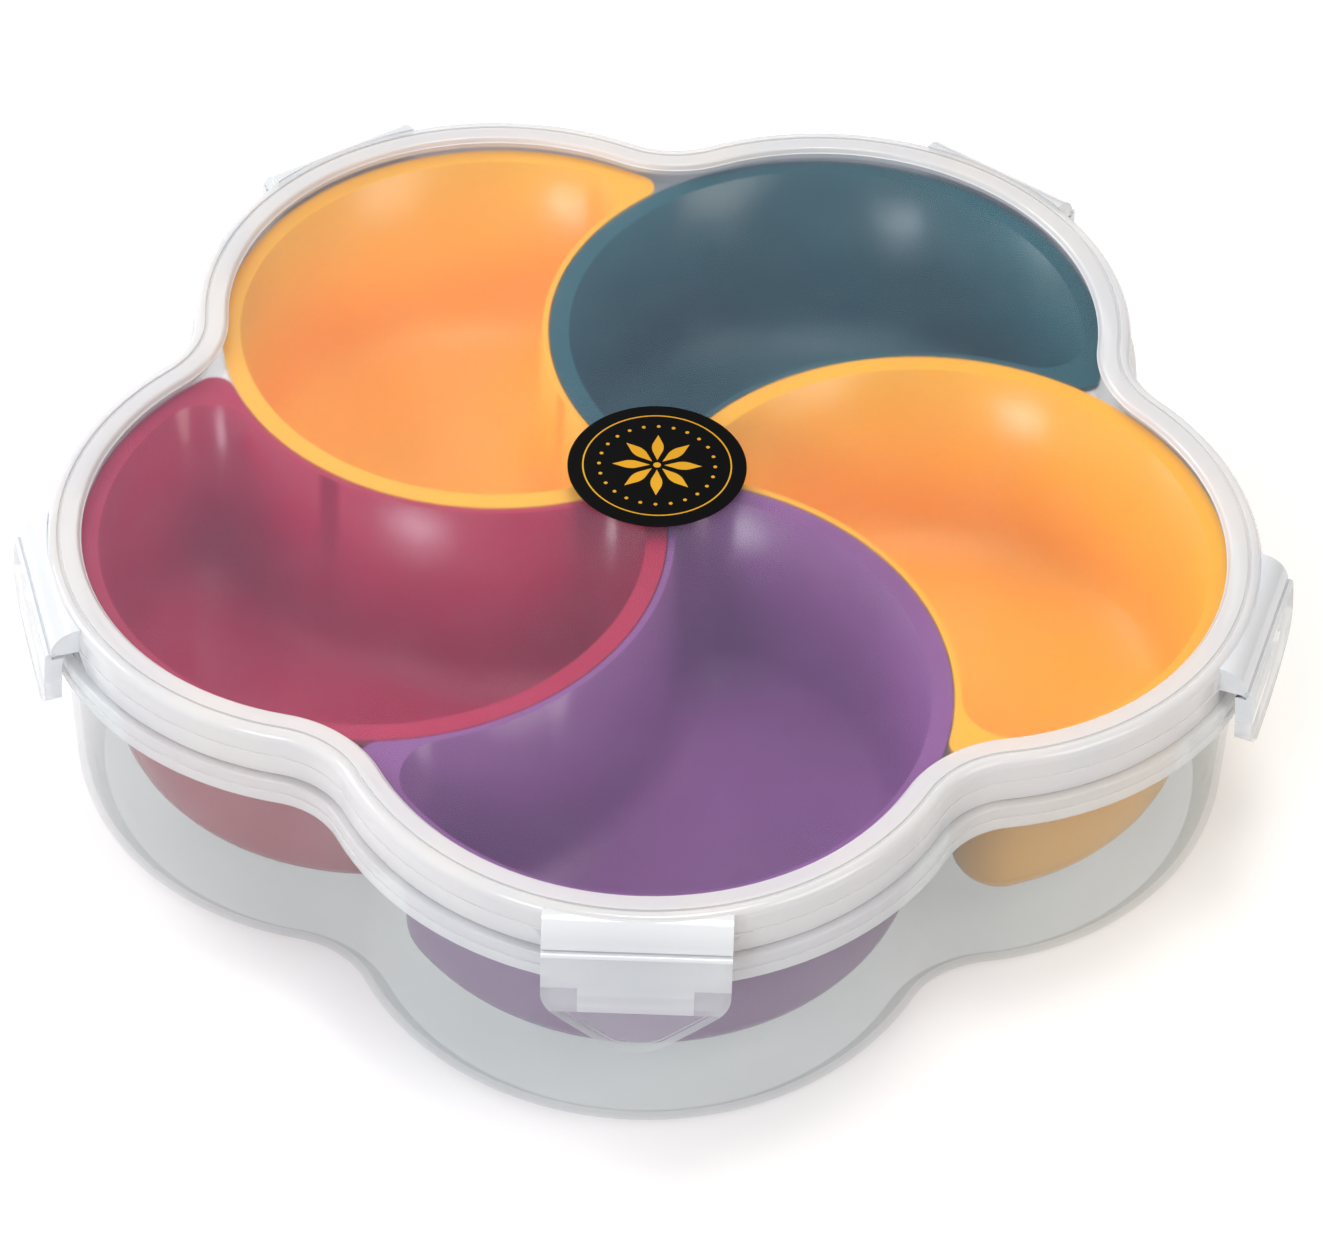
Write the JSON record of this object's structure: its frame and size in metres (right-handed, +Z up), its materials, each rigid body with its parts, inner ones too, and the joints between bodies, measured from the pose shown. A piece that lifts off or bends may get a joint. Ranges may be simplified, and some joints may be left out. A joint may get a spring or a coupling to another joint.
{
  "type": "spice box",
  "caption": "Flower-shaped translucent spice box with a clip-on lid, hinged side latches and swirling crescent trays that lift out.",
  "frame": {"origin": "middle of the flat underside of the tub", "axes": "+Z up, the front lobe and its latch towards -Y"},
  "size_m": [0.2964, 0.2821, 0.0719],
  "materials": {
    "tub_plastic": "translucent, lightly frosted polypropylene",
    "lid_plastic": "translucent polypropylene, smooth",
    "latch_plastic": "translucent polypropylene, thicker and milkier",
    "seal_rubber": "translucent silicone",
    "label_print": "glossy printed disc",
    "tray_purple": "glossy",
    "tray_yellow": "glossy",
    "tray_green": "glossy",
    "tray_red": "glossy"
  },
  "bodies": {
    "tub": {"tub": "tub_plastic"},
    "lid": {"lid": "lid_plastic", "seal_ring": "seal_rubber", "label_disc": "label_print", "hinge_film_front": "latch_plastic", "hinge_film_right": "latch_plastic", "hinge_film_back_right": "latch_plastic", "hinge_film_back_left": "latch_plastic", "hinge_film_left": "latch_plastic"},
    "latch_front": {"latch_front": "latch_plastic"},
    "latch_right": {"latch_right": "latch_plastic"},
    "latch_back_right": {"latch_back_right": "latch_plastic"},
    "latch_back_left": {"latch_back_left": "latch_plastic"},
    "latch_left": {"latch_left": "latch_plastic"},
    "tray_front": {"tray_front": "tray_purple"},
    "tray_right": {"tray_right": "tray_yellow"},
    "tray_back_right": {"tray_back_right": "tray_green"},
    "tray_back_left": {"tray_back_left": "tray_yellow"},
    "tray_left": {"tray_left": "tray_red"}
  },
  "joints": [
    {"name": "lid_lift", "type": "slide", "parent": "tub", "child": "lid", "axis": [0, 0, 1], "range_m": [0, 0.12]},
    {"name": "latch_front_hinge", "type": "hinge", "parent": "lid", "child": "latch_front", "pos_m": [0, -0.14745, 0.06525], "axis": [-1, 0, 0], "range_deg": [0, 120], "deforming": ["hinge_film_front"]},
    {"name": "latch_right_hinge", "type": "hinge", "parent": "lid", "child": "latch_right", "pos_m": [0.14023, -0.04557, 0.06525], "axis": [-0.309, -0.9511, 0], "range_deg": [0, 120], "deforming": ["hinge_film_right"]},
    {"name": "latch_back_right_hinge", "type": "hinge", "parent": "lid", "child": "latch_back_right", "pos_m": [0.08667, 0.11929, 0.06525], "axis": [0.809, -0.5878, 0], "range_deg": [0, 120], "deforming": ["hinge_film_back_right"]},
    {"name": "latch_back_left_hinge", "type": "hinge", "parent": "lid", "child": "latch_back_left", "pos_m": [-0.08667, 0.11929, 0.06525], "axis": [0.809, 0.5878, 0], "range_deg": [0, 120], "deforming": ["hinge_film_back_left"]},
    {"name": "latch_left_hinge", "type": "hinge", "parent": "lid", "child": "latch_left", "pos_m": [-0.14023, -0.04557, 0.06525], "axis": [-0.309, 0.9511, 0], "range_deg": [0, 120], "deforming": ["hinge_film_left"]},
    {"name": "tray_front_lift", "type": "slide", "parent": "tub", "child": "tray_front", "axis": [0, 0, 1], "range_m": [0, 0.06]},
    {"name": "tray_right_lift", "type": "slide", "parent": "tub", "child": "tray_right", "axis": [0, 0, 1], "range_m": [0, 0.06]},
    {"name": "tray_back_right_lift", "type": "slide", "parent": "tub", "child": "tray_back_right", "axis": [0, 0, 1], "range_m": [0, 0.06]},
    {"name": "tray_back_left_lift", "type": "slide", "parent": "tub", "child": "tray_back_left", "axis": [0, 0, 1], "range_m": [0, 0.06]},
    {"name": "tray_left_lift", "type": "slide", "parent": "tub", "child": "tray_left", "axis": [0, 0, 1], "range_m": [0, 0.06]}
  ],
  "couplings": [
    {"joint": "tray_front_lift", "follows": "lid_lift", "ratio": 0.5},
    {"joint": "tray_right_lift", "follows": "lid_lift", "ratio": 0.5},
    {"joint": "tray_back_right_lift", "follows": "lid_lift", "ratio": 0.5},
    {"joint": "tray_back_left_lift", "follows": "lid_lift", "ratio": 0.5},
    {"joint": "tray_left_lift", "follows": "lid_lift", "ratio": 0.5}
  ]
}
